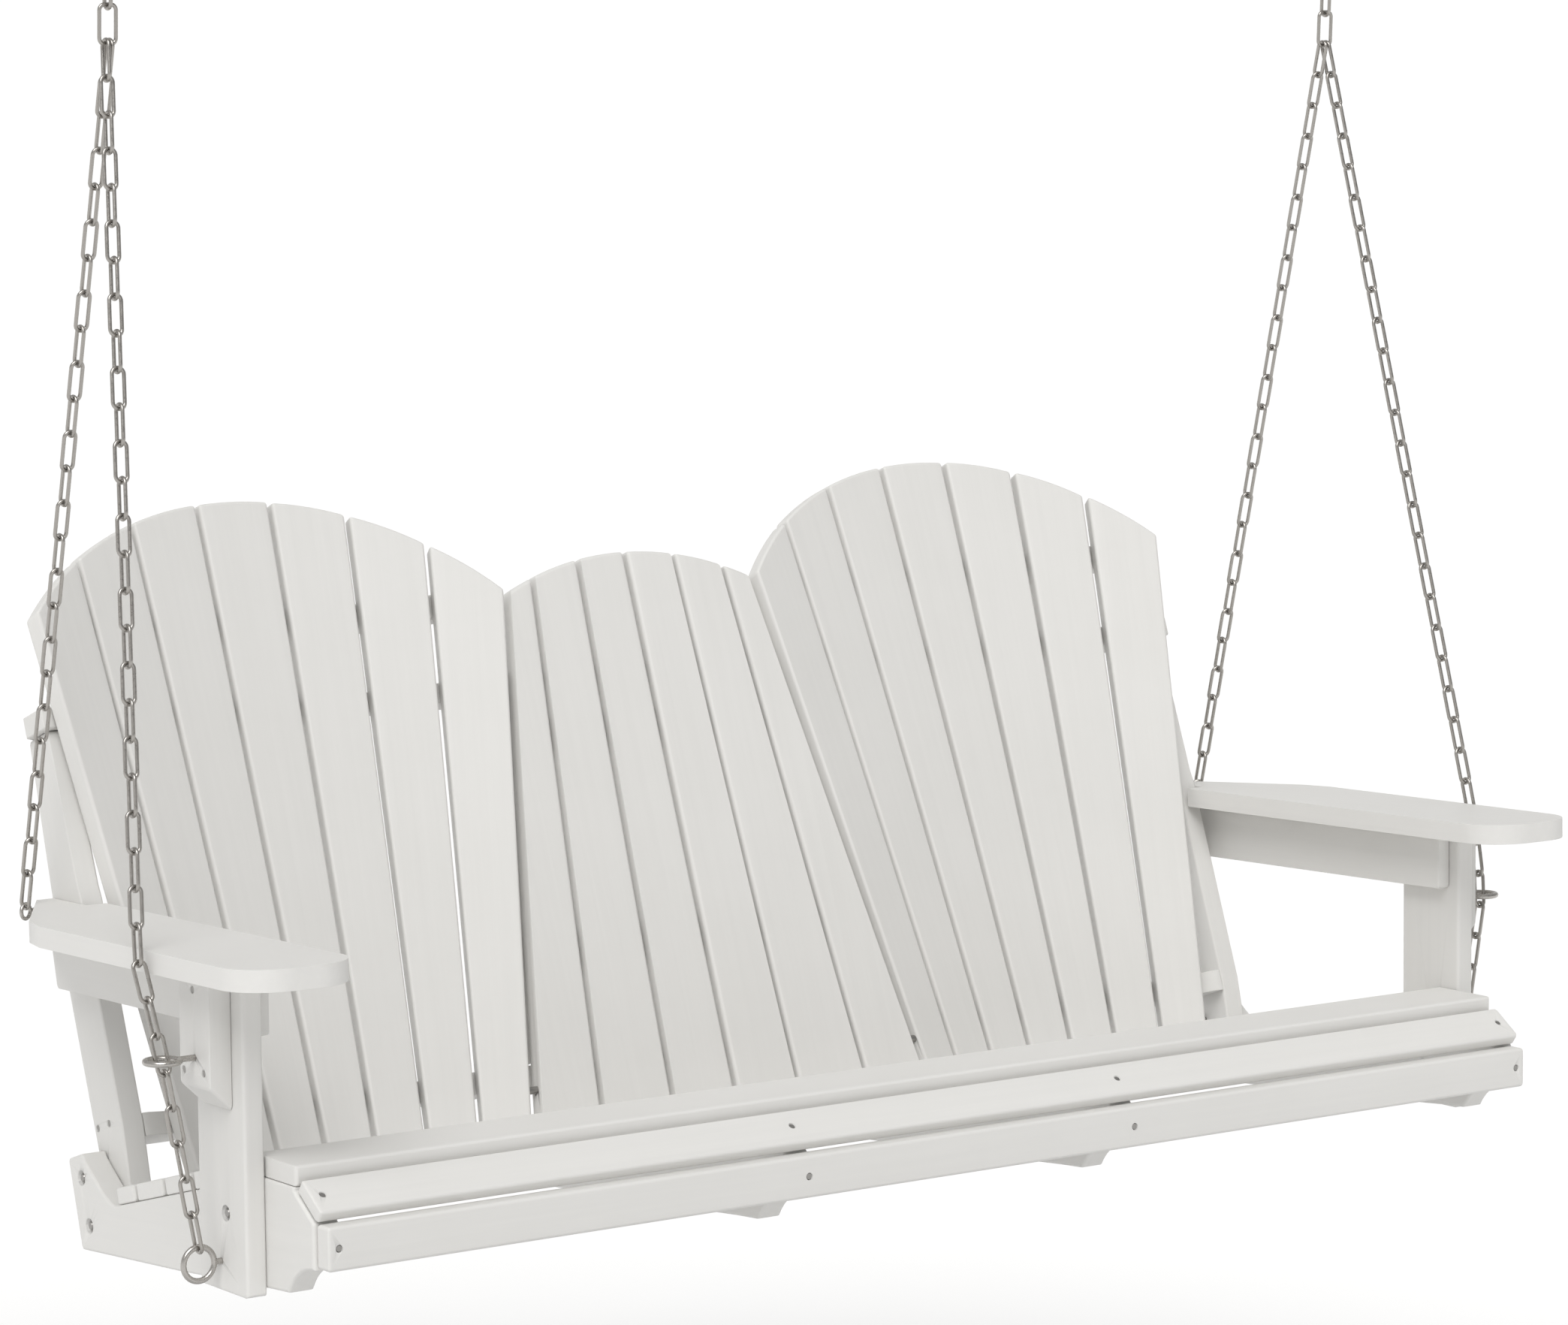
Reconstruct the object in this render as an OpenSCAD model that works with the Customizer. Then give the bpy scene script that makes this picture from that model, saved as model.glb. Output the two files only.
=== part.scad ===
// Porch swing seat: a slatted bench with a fan-shaped back that hangs from
// two ceiling hangers on chains. Millimetres, X to the right, Y to the back,
// Z up. The origin is the middle of the ceiling bolt pattern.

/* [Seat] */
// length of the front apron board
seat_w = 1524; // [1400:10:1700]
// thickness of the outer seat ribs
rib_t = 28.4; // [24:0.2:29]
// thickness of the sloping seat slats
slat_t = 17.8; // [14:0.2:20]
// gap between two sloping seat slats, along the depth
slat_gap = 5.6; // [4:0.1:8]

/* [Back] */
// lean of the back from upright, degrees
lean = 19.9; // [18.5:0.1:21]
// thickness of the back slats
back_t = 21; // [18:0.5:22]
// gap between two back slats
back_gap = 5.5; // [4:0.1:8]
// radius of the arch over each fan
fan_arch_r = 386; // [376:1:392]
// radius of the arch over the middle panel
panel_arch_r = 361.7; // [352:1:370]

/* [Arms] */
// thickness of the armrests
arm_t = 21.6; // [18:0.2:24]
// corner radius at the front of the armrests
arm_corner_r = 50; // [30:1:55]
// height of the armrest underside over the seat front
arm_h = 176.5; // [165:0.5:190]

/* [Chain and eyes] */
// inner length of a chain link
link_in = 36.35; // [33:0.05:38]
// inner width of a chain link
link_w = 9; // [7:0.1:9.4]
// wire of the chain
wire_d = 4; // [3.4:0.1:4.2]
// wire of the lower eyes and the guide eyes
eye_wire = 6; // [5:0.1:6.6]
// turn of the whole seat about the chain apexes, so that it hangs in balance, degrees
hang_tilt = -2.93; // [-5:0.01:5]

/* [Hidden] */
$fn = 40;
u = 25.4;
hw = seat_w / 2;
e = 0.3;

// the hanging point of the chains over the seat, in the seat's own frame
apex_x = hw + 0.64 * u;
apex_y = 14.0 * u;
apex_z = 41.68 * u;
hook_drop = 34;
hook_wire = 6;
lap = 0.3;
split_in = 34.5;
split_w = 14;
drop = hook_drop - hook_wire / 2 - lap + link_in - 0.1 + split_in + wire_d / 2;

// faces along X
rib_o = hw + 0.14 * u;
rib_i = rib_o - rib_t;
post_i = rib_o;
post_o = hw + 1.02 * u;
leg_o = hw - 0.98 * u - 0.3;
leg_i = hw - 2.0 * u;
cor_o = hw + 1.97 * u;
sup_i = hw - 0.5 * u;
inner_rib_x = 8.22 * u;
inner_rib_t = 28.6;
slat_l = hw + 0.07 * u;

// the seat's slope
slope = 14.8;
sl = tan(slope);
function seat_z(y) = -59.7 - sl * (y - 340.4);
function rib_z(y) = seat_z(y) - slat_t / cos(slope);
first_y = 147.1;
pitch_y = 60.2;

// the armrest's underside
arm_k = 0.018;
function arm_z(y) = arm_h - arm_k * (y - 127);
arm_front = -2.5;
arm_rear = 23.5 * u;
arm_in = hw - 1.87 * u;
arm_out = hw + 3.26 * u;

// fasteners
screw_d = 4.5;
head_d = 7.2;
head_h = 2.6;
sink = 3.4;
bolt_d = 8;
bolt_head = 12.8;
hole = 0.05;

// chain way points, right side, in the seat's frame
front_way = [[apex_x, apex_y, apex_z],
             [hw + 3.71 * u, 7.45 * u, 7.45 * u],
             [hw + 3.335 * u, 6.364 * u, 3.723 * u],
             [hw + 2.0 * u, 6.35 * u, -3.52 * u]];
eye_r = 16.6;
lower_eye_c = [hw + 2.0 * u, 6.35 * u, -3.52 * u - eye_r];
guide_c = [hw + 3.335 * u, 6.364 * u, 3.723 * u];
guide_r = 16.6;
rear_wire = 4;
rear_r = 7.6;
rear_c = [hw + 0.6 * u, 22.9 * u, 7.15 * u];
rear_turn = 28;
rear_dir = [apex_x - rear_c[0], apex_y - rear_c[1], apex_z - rear_c[2]] / norm([apex_x - rear_c[0], apex_y - rear_c[1], apex_z - rear_c[2]]);
rear_e = [cos(rear_turn), -sin(rear_turn), 0];
rear_p = [rear_dir * rear_e, rear_dir[2]];
rear_way = [[apex_x, apex_y, apex_z], rear_c + rear_r * (rear_p[0] * rear_e + [0, 0, rear_p[1]]) / norm(rear_p)];

// colours
c_board = [0.90, 0.88, 0.83];
c_steel = [0.62, 0.62, 0.62];

// ---------- frames ----------
// the seat's own frame: X middle, Y apron front, Z top of the front seat slat
module seat_frame() translate([0, 0, -drop]) rotate([hang_tilt, 0, 0]) translate([0, -apex_y, -apex_z]) children();
// the back's frame: Y through the slats to the rear, Z up the slats
module back_frame() translate([0, 18.0 * u, 0]) rotate([-lean, 0, 0]) children();
// 1 = right as it is, -1 = mirrored to the left
module side(s) if (s > 0) children(); else mirror([1, 0, 0]) children();
// a profile in Y and Z, from x0 to x1
module along_x(x0, x1) translate([x0, 0, 0]) rotate([90, 0, 90]) linear_extrude(x1 - x0) children();
// a profile in X and Z, from y0 to y1
module along_y(y0, y1) translate([0, y1, 0]) rotate([90, 0, 0]) linear_extrude(y1 - y0) children();
module rod_x(d, x0, x1) translate([x0, 0, 0]) rotate([0, 90, 0]) cylinder(d = d, h = x1 - x0);

// ---------- fastener places, right side ----------
screw_xs = [-(hw - 0.46 * u), -inner_rib_x, inner_rib_x, hw - 0.46 * u];
corbel_pts = [[6.45 * u, 6.29 * u], [7.23 * u, 3.15 * u], [5.70 * u, 3.2 * u]];
post_bolt = [5.93 * u, -2.28 * u];
leg_bolts = [[19.48 * u, -3.27 * u], [18.88 * u, -5.12 * u]];
rail_pts = [[19.19 * u, -1.15 * u], [20.14 * u, -1.50 * u]];
nose_c = [29.2, -24.2];
nose_a = 35.2;

// a screw that points down its own -Z, its head sunk under the face z = 0
module screw(l) union() {
  translate([0, 0, -sink]) cylinder(d1 = head_d, d2 = head_d * 0.8, h = head_h);
  translate([0, 0, -l]) cylinder(d = screw_d, h = l - sink + head_h / 2);
}
module shaft_hole(l) translate([0, 0, -l - 0.5]) cylinder(d = screw_d + 2 * hole, h = l + 0.6);
module screw_hole(l) union() {
  translate([0, 0, -l - 0.5]) cylinder(d = screw_d + 2 * hole, h = l + 0.6);
  translate([0, 0, -sink]) cylinder(d = head_d + 0.5, h = sink + 1);
}

// ---------- the seat ----------
module apron_places() for (x = screw_xs) translate([x, 0, -2.806 * u]) rotate([90, 0, 0]) children();
module nose_places() for (x = screw_xs) translate([x, 0, 0]) translate([0, nose_c[0], nose_c[1]]) rotate([nose_a, 0, 0]) children();

module front_apron() color(c_board) seat_frame() difference() {
  translate([-hw, 0, -93.5]) cube([2 * hw, 22, 43.5]);
  apron_places() screw_hole(40);
}

module nose_slat() color(c_board) seat_frame() difference() {
  translate([0, nose_c[0], nose_c[1]]) rotate([nose_a, 0, 0]) translate([-slat_l + 0.3, -22.9, -14.5]) cube([2 * slat_l - 0.6, 45.3, 14.5]);
  nose_places() screw_hole(40);
}

module front_seat_slat() color(c_board) seat_frame() translate([-slat_l, 56.3, -20.3]) cube([2 * slat_l, 83.4, 20.3]);

// a sloping slat that starts at y and is d deep
module slope_slat(y, d) translate([0, y, seat_z(y)]) rotate([-slope, 0, 0]) difference() {
  translate([-slat_l, 0, -slat_t]) cube([2 * slat_l, d / cos(slope), slat_t]);
  for (x = screw_xs) translate([x, 27, 0]) screw_hole(42);
}
module seat_slats() color(c_board) seat_frame() for (i = [0:3]) slope_slat(first_y + i * pitch_y, pitch_y - slat_gap);
module rear_seat_slat() color(c_board) seat_frame() slope_slat(first_y + 4 * pitch_y, 37.5);

// the side outline shared by the ribs; the outer ones end in an ear that holds the rear leg
module rib_outline(ear) difference() {
  polygon(concat(
    [[22.2, -95.3], [22.2, -50.8], [24.6, -48.1], [58.4, -24.2], [58.4, -20.5], [140.2, -20.5], [142.4, rib_z(142.4) - 0.2]],
    ear ? [[421, rib_z(421) - 0.2], [428, -99.8], [437, -97.6], [446, -93.8], [455.2, -88.2], [462, -83.3], [468.7, -78.4], [478, -72.4], [486.8, -65.8], [491.2, -61.6], [494.6, -58.0], [523.5, -67.4], [497.1, -157.7]]
        : [[431, rib_z(431) - 0.2], [455, -100], [462, -92], [482, -99.0], [470, -156.5]],
    [[292.1, -143.3], [109.5, -127.5], [60, -124.2], [22.2, -124.2]]));
  translate([22.35, -151.1]) circle(r = 55.9, $fn = 96);
}

module outer_rib(s) color(c_board) seat_frame() side(s) difference() {
  along_x(rib_i, rib_o) rib_outline(true);
  rib_cuts(hw - 0.46 * u);
  translate([0, post_bolt[0], post_bolt[1]]) rod_x(bolt_d + 2 * hole, rib_i - 1, rib_o + 1);
  for (p = leg_bolts) translate([0, p[0], p[1]]) {
    rod_x(bolt_d + 2 * hole, rib_i - 1, rib_o + 1);
    rod_x(bolt_head + 3.2, rib_o - 5.2, rib_o + 1);
  }
}
// screw holes that run down into a rib at x
module rib_cuts(x) {
  translate([x, 0, -2.806 * u]) rotate([90, 0, 0]) shaft_hole(40);
  translate([x, nose_c[0], nose_c[1]]) rotate([nose_a, 0, 0]) shaft_hole(40);
  for (i = [0:4]) translate([x, first_y + i * pitch_y, seat_z(first_y + i * pitch_y)]) rotate([-slope, 0, 0]) translate([0, 27, 0]) shaft_hole(42);
}
module outer_rib_left() outer_rib(-1);
module outer_rib_right() outer_rib(1);

module inner_rib(s) color(c_board) seat_frame() side(s) difference() {
  along_x(inner_rib_x - inner_rib_t / 2, inner_rib_x + inner_rib_t / 2) rib_outline(false);
  rib_cuts(inner_rib_x);
}
module inner_rib_left() inner_rib(-1);
module inner_rib_right() inner_rib(1);

// ---------- the arms ----------
// everything under the armrest's underside
module under_arm() translate([0, 127, arm_h]) rotate([-atan(arm_k), 0, 0]) translate([hw - 100, -300, -500]) cube([300, 900, 500]);

module front_post(s) color(c_board) seat_frame() side(s) difference() {
  intersection() {
    translate([post_i, 4.388 * u, -135.1]) cube([post_o - post_i, 93.3, 330]);
    under_arm();
  }
  translate([0, post_bolt[0], post_bolt[1]]) {
    rod_x(bolt_d + 2 * hole, post_i - 1, post_o + 1);
    rod_x(bolt_head + 3.2, post_o - 5.2, post_o + 1);
  }
  for (p = corbel_pts) translate([0, p[0], p[1]]) rod_x(screw_d + 2 * hole, post_o - 14.5, post_o + 1);
  translate([0, lower_eye_c[1], lower_eye_c[2]]) rod_x(eye_wire + 2 * hole, post_o - 17.5, post_o + 1);
}
module front_post_left() front_post(-1);
module front_post_right() front_post(1);

module corbel(s) color(c_board) seat_frame() side(s) difference() {
  intersection() {
    along_y(5.21 * u, 7.56 * u) polygon([[post_o, 43.2], [cor_o, 66.0], [cor_o, 200], [post_o, 200]]);
    under_arm();
  }
  for (p = corbel_pts) translate([cor_o, p[0], p[1]]) rotate([0, 90, 0]) screw_hole(30);
  translate([0, guide_c[1], guide_c[2]]) rod_x(eye_wire + 2 * hole, cor_o - 19, cor_o + 1);
}
module corbel_left() corbel(-1);
module corbel_right() corbel(1);

module arm_support(s) color(c_board) seat_frame() side(s) intersection() {
  along_x(sup_i, rib_o - 0.2) polygon([[126, 114], [21.25 * u, 106], [21.95 * u, 180], [126, 190]]);
  under_arm();
}
module arm_support_left() arm_support(-1);
module arm_support_right() arm_support(1);

module armrest(s) color(c_board) seat_frame() side(s) difference() {
  translate([0, 127, arm_h]) rotate([-atan(arm_k), 0, 0]) translate([0, -127, 0]) linear_extrude(arm_t) difference() {
    union() {
      polygon([[arm_in, arm_front + arm_corner_r], [arm_in + arm_corner_r, arm_front], [arm_out - arm_corner_r, arm_front],
        [arm_out, arm_front + arm_corner_r], [arm_out, 16.5 * u], [arm_out - 0.35 * u, 18.0 * u], [hw - 0.2 * u, arm_rear], [leg_o + 0.6, arm_rear], [leg_o + 0.6, 20.66 * u], [arm_in, 20.66 * u]]);
      for (x = [arm_in + arm_corner_r, arm_out - arm_corner_r]) translate([x, arm_front + arm_corner_r]) circle(r = arm_corner_r, $fn = 96);
    }
  }
  translate(rear_c) rotate([0, 0, 180 - rear_turn]) rod_x(rear_wire + 2 * hole, 0, rear_r + 23);
}
module armrest_left() armrest(-1);
module armrest_right() armrest(1);

// ---------- the back ----------
module rear_leg(s) color(c_board) seat_frame() side(s) difference() {
  back_frame() along_x(leg_i, leg_o) polygon([[0.68 * u, -4.9 * u], [2.85 * u, -4.9 * u], [2.85 * u, 8.4 * u], [2.3 * u, 15.38 * u], [0.53 * u, 15.38 * u], [0.46 * u, 8.9 * u], [0.37 * u, 8.3 * u], [0.42 * u, -1.0 * u], [0.68 * u, -3.2 * u]]);
  for (p = leg_bolts) translate([0, p[0], p[1]]) rod_x(bolt_d + 2 * hole, leg_i - 1, leg_o + 1);
  for (p = rail_pts) translate([leg_o, p[0], p[1]]) rotate([0, 90, 0]) screw_hole(30);
}
module rear_leg_left() rear_leg(-1);
module rear_leg_right() rear_leg(1);

// the fans: seven boards on a cupped ring, which opens from the bottom to the top
fan_s0 = -3.15;
fan_s1 = 26;
function lerp(a, b, t) = a + (b - a) * t;
function fan_t(s) = (s - 0.4) / 25.6;
function fan_xc(s) = (hw / u - 30 + lerp(18.01, 16.86, fan_t(s))) * u;
function fan_n(s) = lerp(1.57, 1.83, fan_t(s)) * u;
function fan_r(s) = lerp(24, 31, fan_t(s)) * u;
function fan_d(s) = lerp(5.93, 6.62, fan_t(s));
function fan_o(s) = lerp(0.47, 1.8, fan_t(s));
// groove i (0 = inner edge ... 7 = outer edge) at height s up the back, in X, n, s
function groove(i, s) = let (a = (i - 3.5) * fan_d(s) + fan_o(s)) [fan_xc(s) + fan_r(s) * sin(a), fan_n(s) - fan_r(s) * (1 - cos(a)), s * u];
function unit(v) = v / norm(v);

module arch_cut(cx, cs, r) difference() {
  translate([cx - 1.4 * r, -160, cs + 0.2 * r]) cube([2.8 * r, 320, 1.3 * r]);
  translate([cx, -170, cs]) rotate([-90, 0, 0]) cylinder(r = r, h = 340, $fn = 120);
}

module fan_board(i) {
  a0 = groove(i - 1, fan_s0);
  b0 = groove(i, fan_s0);
  a1 = groove(i - 1, fan_s1);
  b1 = groove(i, fan_s1);
  m0 = (a0 + b0) / 2;
  m1 = (a1 + b1) / 2;
  up = unit(m1 - m0);
  v0 = unit(b0 - a0) + unit(b1 - a1);
  v = unit(v0 - (v0 * up) * up);
  n = cross(up, v);
  len = norm(m1 - m0);
  w0 = ((b0 - a0) * v - back_gap) / 2;
  w1 = ((b1 - a1) * v - back_gap) / 2;
  translate(m0) rotate([atan2(n[2], up[2]), -asin(v[2]), atan2(v[1], v[0])])
    translate([0, back_t, 0]) rotate([90, 0, 0]) linear_extrude(back_t) polygon([[-w0, 0], [w0, 0], [w1, len], [-w1, len]]);
}
module fan_slat(s, i) color(c_board) seat_frame() side(s) back_frame() difference() {
  fan_board(i);
  arch_cut(hw - 12 * u, 9.7 * u, fan_arch_r);
  if (i == 1) translate([0, pin_n, pin_s]) rod_x(pin_d + 2 * hole, 9.4 * u, 10.5 * u);
}
module fan_slat_left_1() fan_slat(-1, 1);
module fan_slat_left_2() fan_slat(-1, 2);
module fan_slat_left_3() fan_slat(-1, 3);
module fan_slat_left_4() fan_slat(-1, 4);
module fan_slat_left_5() fan_slat(-1, 5);
module fan_slat_left_6() fan_slat(-1, 6);
module fan_slat_left_7() fan_slat(-1, 7);
module fan_slat_right_1() fan_slat(1, 1);
module fan_slat_right_2() fan_slat(1, 2);
module fan_slat_right_3() fan_slat(1, 3);
module fan_slat_right_4() fan_slat(1, 4);
module fan_slat_right_5() fan_slat(1, 5);
module fan_slat_right_6() fan_slat(1, 6);
module fan_slat_right_7() fan_slat(1, 7);

// the cylinder that clears the backs of a fan's slats between two heights
module fan_clear(s, s0, s1) side(s) translate([fan_xc((s0 + s1) / 2), fan_n(max(s0, s1)) - fan_r((s0 + s1) / 2), (s0 - 1) * u])
  cylinder(r = fan_r((s0 + s1) / 2) + back_t + 1.6, h = (s1 - s0 + 2) * u, $fn = 160);

module fan_cleat(s) color(c_board) seat_frame() back_frame() difference() {
  side(s) translate([0, 0, 19.1 * u]) linear_extrude(1.1 * u) polygon([[hw - 22.1 * u, 0], [hw - 2.0 * u, 0], [hw - 2.0 * u, 1.9 * u], [hw - 4.2 * u, 3.5 * u], [hw - 19.6 * u, 3.5 * u], [hw - 22.1 * u, 2.2 * u]]);
  fan_clear(s, 19.1, 20.2);
}
module fan_cleat_left() fan_cleat(-1);
module fan_cleat_right() fan_cleat(1);

module upper_cross_rail() color(c_board) seat_frame() back_frame() difference() {
  translate([0, 0, 15.4 * u]) linear_extrude(0.89 * u) polygon(concat(
    [for (m = [-1, 1]) each (m < 0 ? [[-(hw - 0.7 * u), 0.2 * u], [-(hw - 22.2 * u), 0.2 * u], [-7.05 * u, 0.9 * u]] : [[7.05 * u, 0.9 * u], [hw - 22.2 * u, 0.2 * u], [hw - 0.7 * u, 0.2 * u]])],
    [[hw - 0.7 * u, 1.95 * u], [hw - 2.2 * u, 3.1 * u], [-(hw - 2.2 * u), 3.1 * u], [-(hw - 0.7 * u), 1.95 * u]]));
  for (s = [-1, 1]) fan_clear(s, 15.4, 16.29);
}

module lower_cross_rail() color(c_board) seat_frame() difference() {
  back_frame() difference() {
    translate([0, 0, -1.5 * u]) linear_extrude(0.95 * u) polygon([[-(leg_i - 0.2), 0.48 * u], [-10.8 * u, 0.55 * u], [-10.2 * u, 1.84 * u], [10.2 * u, 1.84 * u], [10.8 * u, 0.55 * u], [leg_i - 0.2, 0.48 * u], [leg_i - 0.2, 3.2 * u], [-(leg_i - 0.2), 3.2 * u]]);
    for (s = [-1, 1]) fan_clear(s, -1.5, -0.55);
  }
  for (s = [-1, 1]) side(s) for (p = rail_pts) translate([0, p[0], p[1]]) rod_x(screw_d + 2 * hole, leg_i - 26, leg_i + 1);
}

// the stile behind the slanted gap between a fan and the middle panel
module inner_stile(s) color(c_board) seat_frame() side(s) back_frame()
  translate([0, 57, 0]) rotate([90, 0, 0]) linear_extrude(21) polygon([
    [(9.72 + 0.07) * u - 24, -0.53 * u], [(9.72 + 0.07) * u + 24, -0.53 * u],
    [(9.72 - 0.1622 * 15.37) * u + 24, 15.37 * u], [(9.72 - 0.1622 * 15.37) * u - 24, 15.37 * u]]);
module inner_stile_left() inner_stile(-1);
module inner_stile_right() inner_stile(1);

// ---------- the fold-down middle panel ----------
pin_d = 8;
pin_n = 10.5;
pin_s = -1.81 * u;
panel_s0 = -3.1;
function panel_edge(k, s) = (k == 0 ? 9.43 - 0.1622 * s : k == 1 ? 6.59 - 0.0811 * s : k == 2 ? 3.14 - 0.0317 * s : 0) * u;
// board k (0 = outer, 2 = inner), right side, in the back's frame
module panel_board(k) difference() {
  translate([0, back_t, 0]) rotate([90, 0, 0]) linear_extrude(back_t) polygon([
    [panel_edge(k + 1, panel_s0) + back_gap / 2, panel_s0 * u], [panel_edge(k, panel_s0) - (k == 0 ? 1.8 : back_gap / 2), panel_s0 * u],
    [panel_edge(k, 22) - (k == 0 ? 0 : back_gap / 2), 22 * u], [panel_edge(k + 1, 22) + back_gap / 2, 22 * u]]);
  arch_cut(0, 6.91 * u, panel_arch_r);
  if (k == 0) translate([0, pin_n, pin_s]) rod_x(pin_d + 2 * hole, 8.6 * u, 11.2 * u);
}
module panel_pair(k) color(c_board) seat_frame() for (s = [-1, 1]) side(s) back_frame() panel_board(k);
module panel_slats_outer() panel_pair(0);
module panel_slats_middle() panel_pair(1);
module panel_slats_inner() panel_pair(2);

module panel_cleats() color(c_board) seat_frame() back_frame() for (s = [3.2, 12.6])
  translate([-(panel_edge(0, s) - 34), back_t + 0.02, s * u]) cube([2 * (panel_edge(0, s) - 34), 20, 40]);

// the pins on which the middle panel folds forward; they sit fast in the inmost fan slats
module pivot_pins() color(c_steel) seat_frame() for (s = [-1, 1]) side(s) back_frame()
  translate([0, pin_n, pin_s]) rod_x(pin_d, 8.8 * u, 10.48 * u);

// ---------- fasteners ----------
module deck_screws() color(c_steel) seat_frame() {
  apron_places() screw(38);
  nose_places() screw(38);
  for (i = [0:4]) translate([0, first_y + i * pitch_y, seat_z(first_y + i * pitch_y)]) rotate([-slope, 0, 0]) for (x = screw_xs) translate([x, 27, 0]) screw(40);
  for (s = [-1, 1]) side(s) {
    for (p = corbel_pts) translate([cor_o, p[0], p[1]]) rotate([0, 90, 0]) screw(cor_o - post_o + 13);
    for (p = rail_pts) translate([leg_o, p[0], p[1]]) rotate([0, 90, 0]) screw(leg_o - leg_i + 24);
  }
}

// a carriage bolt on the face x = 0, its head outside, its shank l long
module carriage_bolt(l) union() {
  rotate([0, 90, 0]) cylinder(d1 = bolt_head, d2 = bolt_head * 0.55, h = 4.4);
  rod_x(bolt_d, -l, 1);
}
module carriage_bolts() color(c_steel) seat_frame() for (s = [-1, 1]) side(s) {
  translate([post_o - 5.2, post_bolt[0], post_bolt[1]]) carriage_bolt(post_o - 5.2 - rib_i + 14);
  for (p = leg_bolts) translate([rib_o - 5.2, p[0], p[1]]) carriage_bolt(rib_o - 5.2 - leg_i + 14);
}
module nut() rotate([0, -90, 0]) difference() {
  cylinder(d = 19, h = 8, $fn = 6);
  translate([0, 0, -1]) cylinder(d = bolt_d + 2 * hole, h = 10);
}
module bolt_nuts() color(c_steel) seat_frame() for (s = [-1, 1]) side(s) {
  translate([rib_i, post_bolt[0], post_bolt[1]]) nut();
  for (p = leg_bolts) translate([leg_i, p[0], p[1]]) nut();
}

// ---------- chains and eyes ----------
module half_ring(r, d) rotate([90, 0, 0]) rotate_extrude(angle = 180) translate([r, 0]) circle(d = d, $fn = 24);
// a link in the plane of X and Z, centred
module link_xz(p, w, d) union() {
  for (m = [0, 180]) rotate([0, m, 0]) translate([0, 0, p / 2 - w / 2]) half_ring((w + d) / 2, d);
  for (m = [-1, 1]) translate([m * (w + d) / 2, 0, -(p - w) / 2]) cylinder(d = d, h = p - w, $fn = 24);
}
// a link with a straight bar at each end, for the joining link
module bar_link(p, w, d, r) union() {
  for (m = [-1, 1]) {
    translate([m * (w + d) / 2, 0, -(p + d) / 2 + r]) cylinder(d = d, h = p + d - 2 * r, $fn = 24);
    translate([-(w + d) / 2 + r, 0, m * (p + d) / 2]) rotate([0, 90, 0]) cylinder(d = d, h = w + d - 2 * r, $fn = 24);
    for (q = [-1, 1]) translate([m * ((w + d) / 2 - r), 0, q * ((p + d) / 2 - r)]) rotate([0, m > 0 ? (q > 0 ? 0 : 90) : (q > 0 ? -90 : 180), 0])
      rotate([90, 0, 0]) rotate_extrude(angle = 90) translate([r, 0]) circle(d = d, $fn = 24);
  }
}

function way_len(w, i = 0) = i >= len(w) - 1 ? 0 : norm(w[i + 1] - w[i]) + way_len(w, i + 1);
function way_at(w, t, i = 0) = let (l = norm(w[i + 1] - w[i])) (t <= l || i >= len(w) - 2) ? w[i] + (w[i + 1] - w[i]) * (t / l) : way_at(w, t - l, i + 1);

// links along a way, side by side at the top by dx; the first link lies fore and aft
module chain(way, start, stop, dx, n, twist) {
  total = way_len(way) + start + stop;
  step = total / n;
  for (k = [0:n - 1]) {
    a = way_at(way, k * step - start);
    b = way_at(way, (k + 1) * step - start);
    t = unit(b - a);
    f = dx * max(0, 1 - (k + 0.5) / 12);
    translate((a + b) / 2 + [f, 0, 0]) rotate([asin(t[1]), atan2(-t[0], -t[2]), 0]) rotate([0, 0, (k % 2 == 0 ? 90 : 0) + twist * k / (n - 1)]) link_xz(link_in, link_w, wire_d);
  }
}
top_lap = wire_d / 2 + lap;
low_lap = eye_wire / 2 + 0.15;
rear_lap = rear_wire / 2 + 0.15;
front_total = way_len(front_way) + top_lap + low_lap;
rear_total = way_len(rear_way) + top_lap + rear_lap;
front_n = 2 * ceil((front_total / (link_in - 0.05) - 1) / 2) + 1;
rear_n = 2 * ceil((rear_total / (link_in - 0.05) - 1) / 2) + 1;

module front_chain(s) color(c_steel) seat_frame() side(s) chain(front_way, top_lap, low_lap, 2.35, front_n, 0);
module front_chain_left() front_chain(-1);
module front_chain_right() front_chain(1);
module rear_chain(s) color(c_steel) seat_frame() side(s) chain(rear_way, top_lap, rear_lap, -2.35, rear_n, -8);
module rear_chain_left() rear_chain(-1);
module rear_chain_right() rear_chain(1);

// the link on the ceiling hook and the joining link under it
module top_chain(s) color(c_steel) translate([s * apex_x, 0, -hook_drop]) {
  translate([0, 0, hook_wire / 2 + lap - link_in / 2]) rotate([0, 0, 90]) link_xz(link_in, link_w, wire_d);
  translate([0, 0, hook_wire / 2 + lap - link_in + 0.1 - split_in / 2]) bar_link(split_in, split_w, wire_d, 6);
}
module top_chain_left() top_chain(-1);
module top_chain_right() top_chain(1);

module full_ring(r, d) rotate_extrude() translate([r, 0]) circle(d = d, $fn = 24);

// a ceiling plate with two bolt holes and a loop under it
module ceiling_hanger(s) color(c_steel) translate([s * apex_x, 0, 0]) union() {
  difference() {
    translate([-22, -45, -5]) cube([44, 90, 5]);
    for (m = [-1, 1]) translate([0, m * 30, -6]) cylinder(d = 9, h = 7);
  }
  translate([0, 0, -hook_drop + 15]) bar_link(30 - hook_wire, 18, hook_wire, 8);
}
module ceiling_hanger_left() ceiling_hanger(-1);
module ceiling_hanger_right() ceiling_hanger(1);

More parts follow.
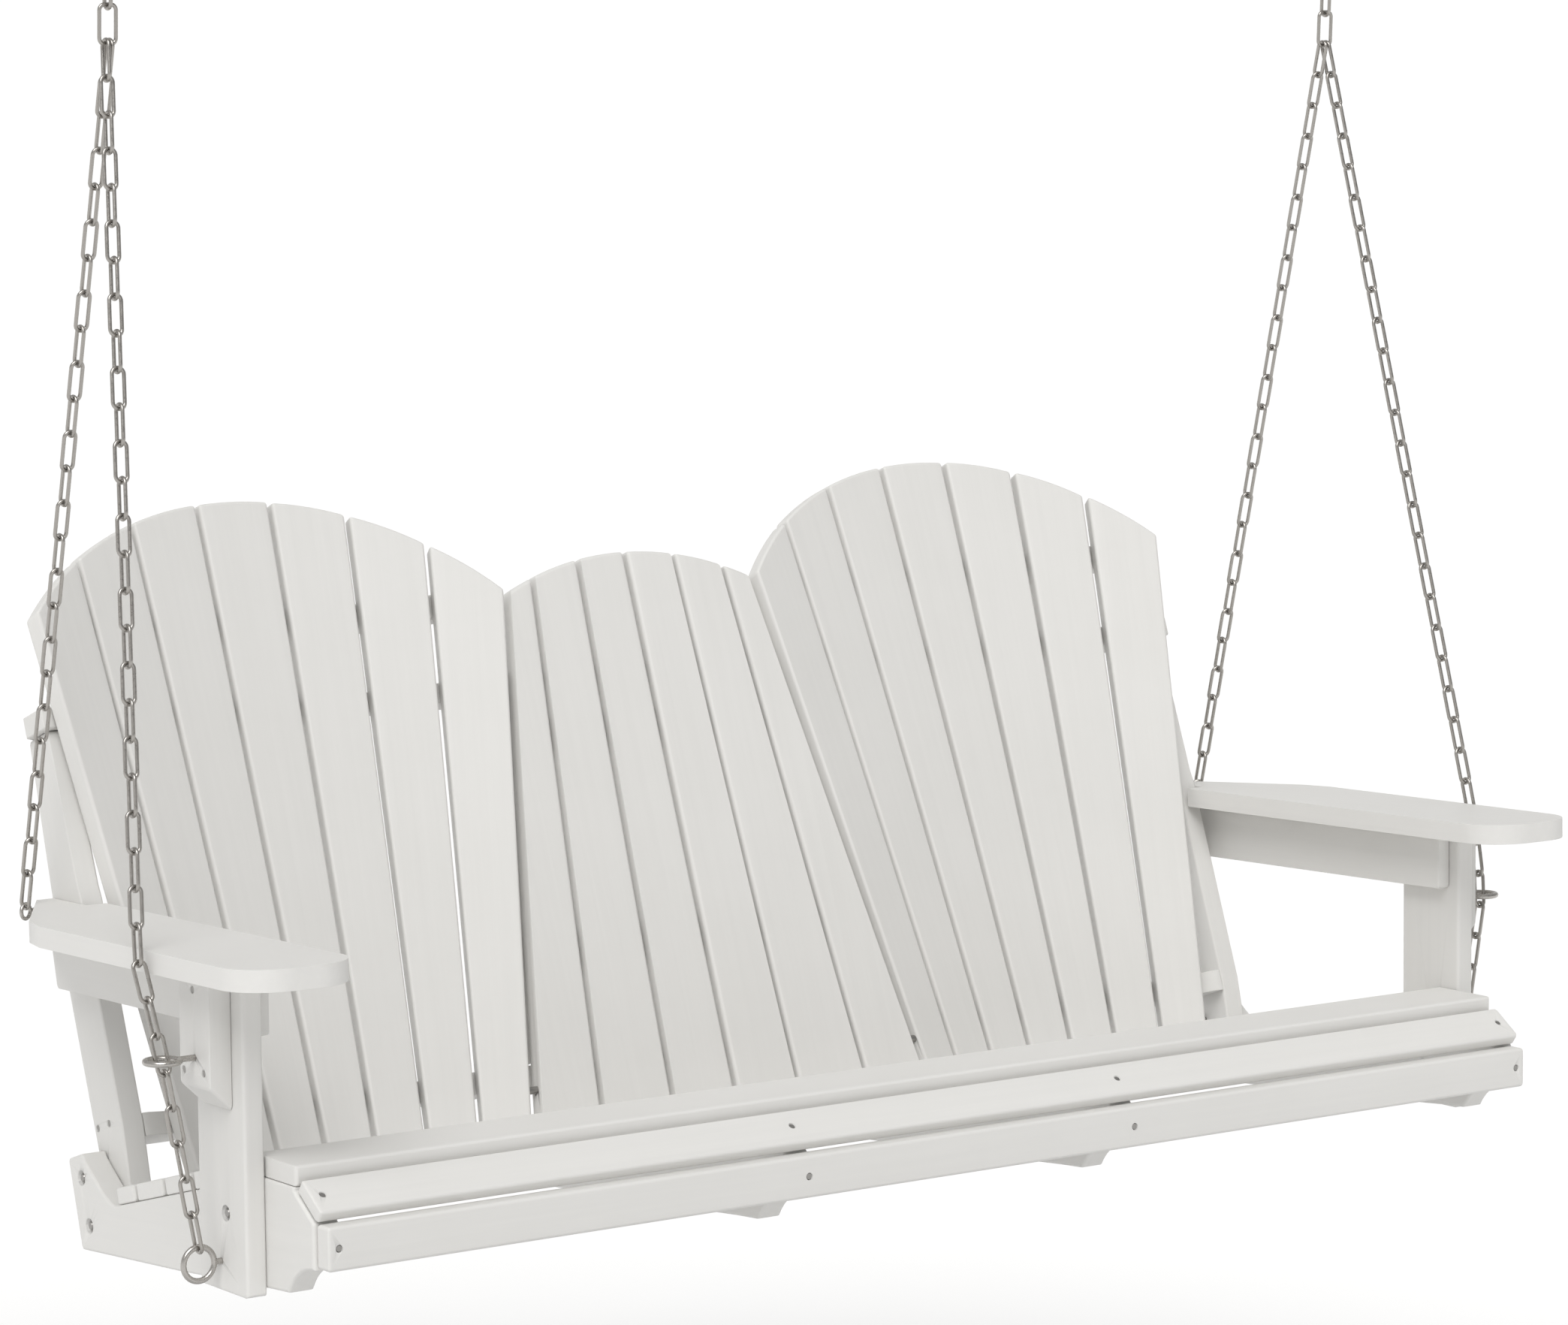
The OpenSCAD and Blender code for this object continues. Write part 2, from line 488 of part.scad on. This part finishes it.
module lower_eyes() color(c_steel) seat_frame() for (s = [-1, 1]) side(s) union() {
  translate(lower_eye_c) rotate([90, 0, 0]) full_ring(eye_r, eye_wire);
  translate([0, lower_eye_c[1], lower_eye_c[2]]) rod_x(eye_wire, post_o - 16, lower_eye_c[0] - eye_r);
}
module guide_eyes() color(c_steel) seat_frame() for (s = [-1, 1]) side(s) union() {
  translate(guide_c) full_ring(guide_r, eye_wire);
  translate([0, guide_c[1], guide_c[2]]) rod_x(eye_wire, cor_o - 18, guide_c[0] - guide_r);
}
module rear_eyes() color(c_steel) seat_frame() for (s = [-1, 1]) side(s) union() {
  translate(rear_c) rotate([0, 0, -rear_turn]) rotate([90, 0, 0]) full_ring(rear_r, rear_wire);
  translate(rear_c) rotate([0, 0, 180 - rear_turn]) rod_x(rear_wire, rear_r, rear_r + 22);
}

// ---------- all ----------
ceiling_hanger_left();
ceiling_hanger_right();
top_chain_left();
top_chain_right();
front_chain_left();
front_chain_right();
rear_chain_left();
rear_chain_right();
lower_eyes();
guide_eyes();
rear_eyes();
front_post_left();
front_post_right();
corbel_left();
corbel_right();
armrest_left();
armrest_right();
arm_support_left();
arm_support_right();
rear_leg_left();
rear_leg_right();
outer_rib_left();
outer_rib_right();
inner_rib_left();
inner_rib_right();
front_apron();
nose_slat();
front_seat_slat();
seat_slats();
rear_seat_slat();
fan_slat_left_1();
fan_slat_left_2();
fan_slat_left_3();
fan_slat_left_4();
fan_slat_left_5();
fan_slat_left_6();
fan_slat_left_7();
fan_slat_right_1();
fan_slat_right_2();
fan_slat_right_3();
fan_slat_right_4();
fan_slat_right_5();
fan_slat_right_6();
fan_slat_right_7();
fan_cleat_left();
fan_cleat_right();
upper_cross_rail();
lower_cross_rail();
inner_stile_left();
inner_stile_right();
panel_slats_outer();
panel_slats_middle();
panel_slats_inner();
panel_cleats();
pivot_pins();
deck_screws();
carriage_bolts();
bolt_nuts();
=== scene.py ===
import math

import bmesh
import bpy
import numpy as np
from mathutils import Matrix, Vector


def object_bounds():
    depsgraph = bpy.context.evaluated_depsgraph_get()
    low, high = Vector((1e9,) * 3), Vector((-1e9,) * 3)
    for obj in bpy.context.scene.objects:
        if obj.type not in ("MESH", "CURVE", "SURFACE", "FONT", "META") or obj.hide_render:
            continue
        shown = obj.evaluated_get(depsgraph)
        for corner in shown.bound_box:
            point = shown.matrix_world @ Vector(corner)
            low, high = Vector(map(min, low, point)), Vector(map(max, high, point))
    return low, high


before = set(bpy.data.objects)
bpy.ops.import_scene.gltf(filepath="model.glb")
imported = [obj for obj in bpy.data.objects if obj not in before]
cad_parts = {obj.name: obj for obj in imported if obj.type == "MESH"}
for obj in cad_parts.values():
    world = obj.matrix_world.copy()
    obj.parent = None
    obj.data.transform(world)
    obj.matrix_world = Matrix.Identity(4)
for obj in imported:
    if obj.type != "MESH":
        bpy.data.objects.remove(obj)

cad_box = [list(map(float, c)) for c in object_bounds()]
scene = bpy.context.scene
U = 0.0254

# the seat's own frame (inches, X right, Y back, Z up, from the front slat's top) in the row frame
TILT = math.radians(-2.93)
DROP = (34 - 3 - 0.3 + 36.35 - 0.1 + 34.5 + 2) / 1000
ROT = Matrix.Rotation(TILT, 3, "X")


def row(p):
    return ROT @ (Vector((p[0], p[1] - 14.0, p[2] - 41.68)) * U) + Vector((0, 0, -DROP))


def row_dir(v):
    return (ROT @ Vector(v)).normalized()


LEAN = math.radians(19.9)


def back_dir(x, n, s):
    return Vector((x, s * math.sin(LEAN) + n * math.cos(LEAN), s * math.cos(LEAN) - n * math.sin(LEAN)))


# ---------- materials ----------
def node_link(tree):
    return tree.nodes.new, tree.links.new


def grained(name, along, tint=(0.725, 0.716, 0.696), scale=1.0):
    """Off-white moulded lumber: a fine grain along one direction, faint mottling and a satin skin."""
    m = bpy.data.materials.new(name)
    m.use_nodes = True
    t = m.node_tree
    t.nodes.clear()
    new, link = t.nodes.new, t.links.new
    out = new("ShaderNodeOutputMaterial")
    b = new("ShaderNodeBsdfPrincipled")
    link(b.outputs["BSDF"], out.inputs["Surface"])
    co = new("ShaderNodeTexCoord")
    a = Vector(along).normalized()
    other = Vector((0, 0, 1)) if abs(a.z) < 0.9 else Vector((0, 1, 0))
    c = a.cross(other).normalized()
    d = c.cross(a).normalized()
    dots = []
    for axis, k in ((a, 3.0), (c, 130.0), (d, 130.0)):
        n = new("ShaderNodeVectorMath")
        n.operation = "DOT_PRODUCT"
        n.inputs[1].default_value = axis * (k * scale)
        link(co.outputs["Object"], n.inputs[0])
        dots.append(n)
    comb = new("ShaderNodeCombineXYZ")
    for i, n in enumerate(dots):
        link(n.outputs["Value"], comb.inputs[i])
    grain = new("ShaderNodeTexNoise")
    grain.inputs["Scale"].default_value = 1.0
    grain.inputs["Detail"].default_value = 5.0
    grain.inputs["Roughness"].default_value = 0.62
    grain.inputs["Distortion"].default_value = 0.35
    link(comb.outputs["Vector"], grain.inputs["Vector"])
    mottle = new("ShaderNodeTexNoise")
    mottle.inputs["Scale"].default_value = 9.0
    mottle.inputs["Detail"].default_value = 3.0
    link(co.outputs["Object"], mottle.inputs["Vector"])
    speck = new("ShaderNodeTexNoise")
    speck.inputs["Scale"].default_value = 900.0
    speck.inputs["Detail"].default_value = 2.0
    link(co.outputs["Object"], speck.inputs["Vector"])
    ramp = new("ShaderNodeValToRGB")
    ramp.color_ramp.elements[0].position = 0.30
    ramp.color_ramp.elements[0].color = (*[v * 0.982 for v in tint], 1)
    ramp.color_ramp.elements[1].position = 0.72
    ramp.color_ramp.elements[1].color = (*[min(1, v * 1.01) for v in tint], 1)
    link(grain.outputs["Fac"], ramp.inputs["Fac"])
    mix = new("ShaderNodeMix")
    mix.data_type = "RGBA"
    mix.blend_type = "MULTIPLY"
    mix.inputs["Factor"].default_value = 0.5
    mr = new("ShaderNodeValToRGB")
    mr.color_ramp.elements[0].position = 0.35
    mr.color_ramp.elements[0].color = (0.972, 0.972, 0.968, 1)
    mr.color_ramp.elements[1].position = 0.65
    mr.color_ramp.elements[1].color = (1, 1, 1, 1)
    link(mottle.outputs["Fac"], mr.inputs["Fac"])
    link(ramp.outputs["Color"], mix.inputs["A"])
    link(mr.outputs["Color"], mix.inputs["B"])
    link(mix.outputs["Result"], b.inputs["Base Color"])
    rough = new("ShaderNodeMapRange")
    rough.inputs["From Min"].default_value = 0.3
    rough.inputs["From Max"].default_value = 0.7
    rough.inputs["To Min"].default_value = 0.42
    rough.inputs["To Max"].default_value = 0.56
    link(grain.outputs["Fac"], rough.inputs["Value"])
    link(rough.outputs["Result"], b.inputs["Roughness"])
    add = new("ShaderNodeMath")
    add.operation = "MULTIPLY_ADD"
    add.inputs[1].default_value = 0.35
    link(speck.outputs["Fac"], add.inputs[0])
    link(grain.outputs["Fac"], add.inputs[2])
    bump = new("ShaderNodeBump")
    bump.inputs["Strength"].default_value = 0.2
    bump.inputs["Distance"].default_value = 0.00035
    link(add.outputs["Value"], bump.inputs["Height"])
    link(bump.outputs["Normal"], b.inputs["Normal"])
    b.inputs["IOR"].default_value = 1.49
    b.inputs["Specular IOR Level"].default_value = 0.42
    b.inputs["Subsurface Weight"].default_value = 0.0
    return m


def steel(name, base=(0.34, 0.325, 0.30), rough=(0.22, 0.40), scale=1.0):
    """Plain stainless steel: fine drawing marks and dull patches."""
    m = bpy.data.materials.new(name)
    m.use_nodes = True
    t = m.node_tree
    t.nodes.clear()
    new, link = t.nodes.new, t.links.new
    out = new("ShaderNodeOutputMaterial")
    b = new("ShaderNodeBsdfPrincipled")
    link(b.outputs["BSDF"], out.inputs["Surface"])
    b.inputs["Metallic"].default_value = 1.0
    co = new("ShaderNodeTexCoord")
    n1 = new("ShaderNodeTexNoise")
    n1.inputs["Scale"].default_value = 260.0 * scale
    n1.inputs["Detail"].default_value = 4.0
    n1.inputs["Roughness"].default_value = 0.6
    link(co.outputs["Object"], n1.inputs["Vector"])
    n2 = new("ShaderNodeTexNoise")
    n2.inputs["Scale"].default_value = 2200.0 * scale
    n2.inputs["Detail"].default_value = 2.0
    link(co.outputs["Object"], n2.inputs["Vector"])
    r = new("ShaderNodeMapRange")
    r.inputs["From Min"].default_value = 0.35
    r.inputs["From Max"].default_value = 0.65
    r.inputs["To Min"].default_value = rough[0]
    r.inputs["To Max"].default_value = rough[1]
    link(n1.outputs["Fac"], r.inputs["Value"])
    link(r.outputs["Result"], b.inputs["Roughness"])
    ramp = new("ShaderNodeValToRGB")
    ramp.color_ramp.elements[0].position = 0.3
    ramp.color_ramp.elements[0].color = (*[v * 0.9 for v in base], 1)
    ramp.color_ramp.elements[1].position = 0.7
    ramp.color_ramp.elements[1].color = (*base, 1)
    link(n1.outputs["Fac"], ramp.inputs["Fac"])
    link(ramp.outputs["Color"], b.inputs["Base Color"])
    bump = new("ShaderNodeBump")
    bump.inputs["Strength"].default_value = 0.06
    bump.inputs["Distance"].default_value = 0.00006
    link(n2.outputs["Fac"], bump.inputs["Height"])
    link(bump.outputs["Normal"], b.inputs["Normal"])
    return m


SLOPE = math.radians(14.8)
X = row_dir((1, 0, 0))
dirs = {
    "x": X,
    "arm": row_dir((0, 1, -0.018)),
    "post": row_dir((0, 0, 1)),
    "rib": row_dir((0, 1, -0.07)),
    "leg": row_dir(back_dir(0, 0, 1)),
    "cleat": X,
}
mats = {k: grained("board_" + k, v) for k, v in dirs.items()}


def slat_dir(side, i):
    """The run of fan slat i, from its foot to its top."""
    def groove(k, s):
        t = (s - 0.4) / 25.6
        a = math.radians((k - 3.5) * (5.93 + 0.69 * t) + 0.47 + 1.33 * t)
        r = 24 + 7 * t
        return Vector(((18.01 - 1.15 * t) + r * math.sin(a), (1.57 + 0.26 * t) - r * (1 - math.cos(a)), s))
    m0 = (groove(i - 1, -2.8) + groove(i, -2.8)) / 2
    m1 = (groove(i - 1, 26) + groove(i, 26)) / 2
    d = m1 - m0
    return row_dir(back_dir(side * d.x, d.y, d.z))


for s, nm in ((-1, "left"), (1, "right")):
    for i in range(1, 8):
        mats[f"fan_{nm}_{i}"] = grained(f"board_fan_{nm}_{i}", slat_dir(s, i), scale=1 + 0.01 * i)
mats["steel_chain"] = steel("steel_chain", (0.43, 0.41, 0.385), (0.26, 0.38))
mats["steel_eyes"] = steel("steel_eyes", (0.50, 0.48, 0.455), (0.22, 0.34))
mats["steel_fasteners"] = steel("steel_fasteners", (0.36, 0.35, 0.335), (0.3, 0.45))
mats["steel_hanger"] = steel("steel_hanger", (0.5, 0.49, 0.47), (0.28, 0.45), 0.6)


def material_of(n):
    if "chain" in n:
        return "steel_chain"
    if n.endswith("_eyes"):
        return "steel_eyes"
    if n in ("deck_screws", "carriage_bolts", "bolt_nuts", "pivot_pins"):
        return "steel_fasteners"
    if "hanger" in n:
        return "steel_hanger"
    if n.startswith("fan_slat_"):
        return "fan_" + n[len("fan_slat_"):]
    if "armrest" in n or "arm_support" in n:
        return "arm"
    if "post" in n or "corbel" in n:
        return "post"
    if "rib" in n:
        return "rib"
    if "leg" in n or "stile" in n or n.startswith("panel_slats"):
        return "leg"
    return "x"


# ---------- boards: soft moulded edges; metal: smooth ----------
def key(v):
    return (round(v.co.x * 2e4), round(v.co.y * 2e4), round(v.co.z * 2e4))


def soften(o, width, shortest):
    """Marks the board's own sharp edges, not the rims of small holes, and rounds them."""
    me = o.data
    for name in ("custom_normal", "sharp_face", "sharp_edge"):
        if name in me.attributes:
            me.attributes.remove(me.attributes[name])
    keys = [key(v) for v in me.vertices]
    normals = {}
    for p in me.polygons:
        vs = list(p.vertices)
        for a, b in zip(vs, vs[1:] + vs[:1]):
            if keys[a] != keys[b]:
                normals.setdefault(tuple(sorted((keys[a], keys[b]))), []).append(p.normal.copy())
    sharp = set()
    for k, ns in normals.items():
        if len(ns) == 2 and ns[0].dot(ns[1]) < math.cos(math.radians(24)):
            length = (Vector(k[0]) - Vector(k[1])).length / 2e4
            if length > shortest:
                sharp.add(k)
    att = me.attributes.get("bevel_weight_edge") or me.attributes.new("bevel_weight_edge", "FLOAT", "EDGE")
    for e in me.edges:
        a, b = e.vertices
        att.data[e.index].value = 1.0 if tuple(sorted((keys[a], keys[b]))) in sharp else 0.0
    for p in me.polygons:
        p.use_smooth = True
    w = o.modifiers.new("weld", "WELD")
    w.merge_threshold = 0.00004
    bv = o.modifiers.new("edge", "BEVEL")
    bv.limit_method = "WEIGHT"
    bv.width = width
    bv.segments = 3
    bv.use_clamp_overlap = True
    bv.loop_slide = True
    bv.miter_outer = "MITER_SHARP"
    n = o.modifiers.new("normals", "WEIGHTED_NORMAL")
    n.mode = "FACE_AREA"
    n.weight = 80
    n.keep_sharp = False


def smooth_metal(o):
    me = o.data
    for p in me.polygons:
        p.use_smooth = True


for n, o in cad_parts.items():
    k = material_of(n)
    o.data.materials.clear()
    o.data.materials.append(mats[k])
    if k.startswith("steel"):
        smooth_metal(o)
    else:
        wide = 0.0078 if "armrest" in n else 0.0044 if n.startswith(("fan_slat", "panel_slats")) else 0.0036
        soften(o, wide, 0.0034)

# ---------- floor and light ----------
def floor_mat(name):
    """Pale matt floor: greyer under the swing as painted shade, white further out with a painted glow."""
    m = bpy.data.materials.new(name)
    m.use_nodes = True
    new, link = m.node_tree.nodes.new, m.node_tree.links.new
    b = m.node_tree.nodes["Principled BSDF"]
    tc = new("ShaderNodeTexCoord")
    ln = new("ShaderNodeVectorMath")
    ln.operation = "LENGTH"
    link(tc.outputs["Object"], ln.inputs[0])
    noise = new("ShaderNodeTexNoise")
    noise.inputs["Scale"].default_value = 1.2
    noise.inputs["Detail"].default_value = 3.0
    link(tc.outputs["Object"], noise.inputs["Vector"])
    # painted shade: the floor's colour is darker near the swing, where its shadow and the lost bounce would
    # fall, and paler further out
    floor_shade_ramp = new("ShaderNodeMapRange")
    floor_shade_ramp.interpolation_type = "SMOOTHSTEP"
    floor_shade_ramp.inputs["From Min"].default_value = 0.5
    floor_shade_ramp.inputs["From Max"].default_value = 2.7
    floor_shade_ramp.inputs["To Min"].default_value = 0.64
    floor_shade_ramp.inputs["To Max"].default_value = 0.865
    link(ln.outputs["Value"], floor_shade_ramp.inputs["Value"])
    wob = new("ShaderNodeMath")
    wob.operation = "MULTIPLY_ADD"
    wob.inputs[1].default_value = 0.006
    link(noise.outputs["Fac"], wob.inputs[0])
    link(floor_shade_ramp.outputs["Result"], wob.inputs[2])
    comb = new("ShaderNodeCombineColor")
    for k in ("Red", "Green", "Blue"):
        link(wob.outputs["Value"], comb.inputs[k])
    link(comb.outputs["Color"], b.inputs["Base Color"])
    # painted light: the floor glows, faintly under the swing and more further out, so that it reads as
    # white
    painted_glow = new("ShaderNodeMapRange")
    painted_glow.inputs["From Min"].default_value = 0.5
    painted_glow.inputs["From Max"].default_value = 2.7
    painted_glow.inputs["To Min"].default_value = 0.02
    painted_glow.inputs["To Max"].default_value = 0.155
    link(ln.outputs["Value"], painted_glow.inputs["Value"])
    b.inputs["Roughness"].default_value = 0.9
    b.inputs["Specular IOR Level"].default_value = 0.0
    b.inputs["Emission Color"].default_value = (1, 1, 0.995, 1)
    link(painted_glow.outputs["Result"], b.inputs["Emission Strength"])
    return m


floor_z = cad_box[0][2] - 0.75
bpy.ops.mesh.primitive_plane_add(size=3000, location=(0, 0, floor_z))
floor = bpy.context.object
floor.name = "floor"
# this floor material carries painted shade under the swing and a painted glow further out
floor.data.materials.append(floor_mat("floor_painted_shade_and_glow"))

# a pale sky that is white all round the horizon and softer overhead
world = bpy.data.worlds.new("studio")
scene.world = world
world.use_nodes = True
wt = world.node_tree
bg = wt.nodes["Background"]
bg.inputs["Color"].default_value = (1.0, 1.0, 0.995, 1)
tc = wt.nodes.new("ShaderNodeTexCoord")
sep = wt.nodes.new("ShaderNodeSeparateXYZ")
wt.links.new(tc.outputs["Generated"], sep.inputs[0])
mr = wt.nodes.new("ShaderNodeMapRange")
mr.inputs["From Min"].default_value = 0.035
mr.inputs["From Max"].default_value = 0.16
mr.inputs["To Min"].default_value = 1.0
wt.links.new(sep.outputs["Z"], mr.inputs["Value"])
# overhead it is dimmer on the side away from the key
dp = wt.nodes.new("ShaderNodeVectorMath")
dp.operation = "DOT_PRODUCT"
dp.inputs[1].default_value = (0.55, -0.83, 0.0)
wt.links.new(tc.outputs["Generated"], dp.inputs[0])
az = wt.nodes.new("ShaderNodeMapRange")
az.inputs["From Min"].default_value = 0.0
az.inputs["From Max"].default_value = 1.0
az.inputs["To Min"].default_value = 0.56
az.inputs["To Max"].default_value = 0.34
wt.links.new(dp.outputs["Value"], az.inputs["Value"])
wt.links.new(az.outputs["Result"], mr.inputs["To Max"])
wt.links.new(mr.outputs["Result"], bg.inputs["Strength"])

# one large soft key, from the left, the front and above
key_dir = Vector((-0.42, -0.40, 0.81))
sun = bpy.data.lights.new("key", "SUN")
sun.energy = 1.88
sun.angle = math.radians(42)
sun.color = (1, 0.997, 0.99)
so = bpy.data.objects.new("key", sun)
scene.collection.objects.link(so)
so.location = key_dir * 6
so.rotation_euler = (-key_dir).to_track_quat("-Z", "Y").to_euler()

# ---------- camera ----------
yaw, pit, rol = (math.radians(v) for v in (35.014, 5.974, -0.573))
fwd = Vector((math.sin(yaw) * math.cos(pit), math.cos(yaw) * math.cos(pit), -math.sin(pit)))
right = Vector((math.cos(yaw), -math.sin(yaw), 0))
up = right.cross(fwd)
rr = math.cos(rol) * right + math.sin(rol) * up
uu = -math.sin(rol) * right + math.cos(rol) * up
pos = Vector((-9.201, 0, 17.604)) - fwd * 198.327
cam = bpy.data.cameras.new("camera")
cam.sensor_fit = "HORIZONTAL"
cam.sensor_width = 36.0
cam.lens = 6800 / 2088 * 36
cam.clip_start = 0.1
cam.clip_end = 200
cam.dof.use_dof = False
co = bpy.data.objects.new("camera", cam)
scene.collection.objects.link(co)
m = Matrix.Identity(4)
for i, v in enumerate((row_dir(rr), row_dir(uu), -row_dir(fwd))):
    for j in range(3):
        m[j][i] = v[j]
m.translation = row(pos)
co.matrix_world = m
scene.camera = co

scene.view_settings.view_transform = "Standard"
scene.view_settings.look = "None"
scene.view_settings.exposure = 0.0
scene.view_settings.gamma = 1.0
